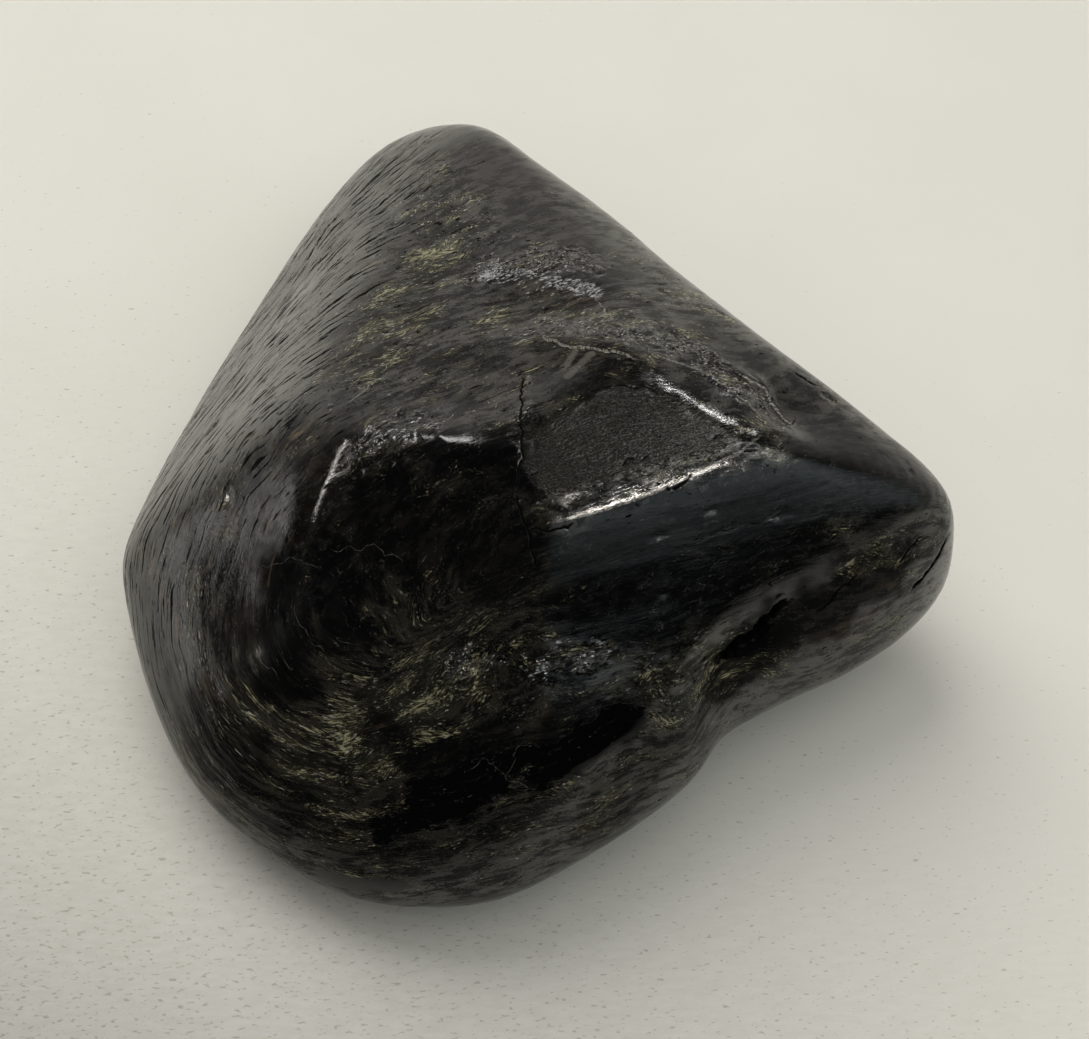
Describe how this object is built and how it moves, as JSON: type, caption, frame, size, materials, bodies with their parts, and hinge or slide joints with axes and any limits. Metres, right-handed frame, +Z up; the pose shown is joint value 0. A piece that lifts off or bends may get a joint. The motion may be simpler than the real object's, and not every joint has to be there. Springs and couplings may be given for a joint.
{
  "type": "polished stone",
  "caption": "Polished near-black stone: a blunt, rounded wedge with ground faces over its crest, a small lobe set off by a crease, and a flat underside to rest on.",
  "frame": {"origin": "middle of the stone's box, at the height of its resting flat", "axes": "+Z up out of the resting flat, +Y along the longest extent towards the narrow end, +X towards the small lobe"},
  "size_m": [0.059, 0.0662, 0.0285],
  "materials": {
    "nuummite": "polished, near-black with golden-green fibrous flecks"
  },
  "bodies": {
    "root": {"stone": "nuummite"}
  },
  "joints": []
}
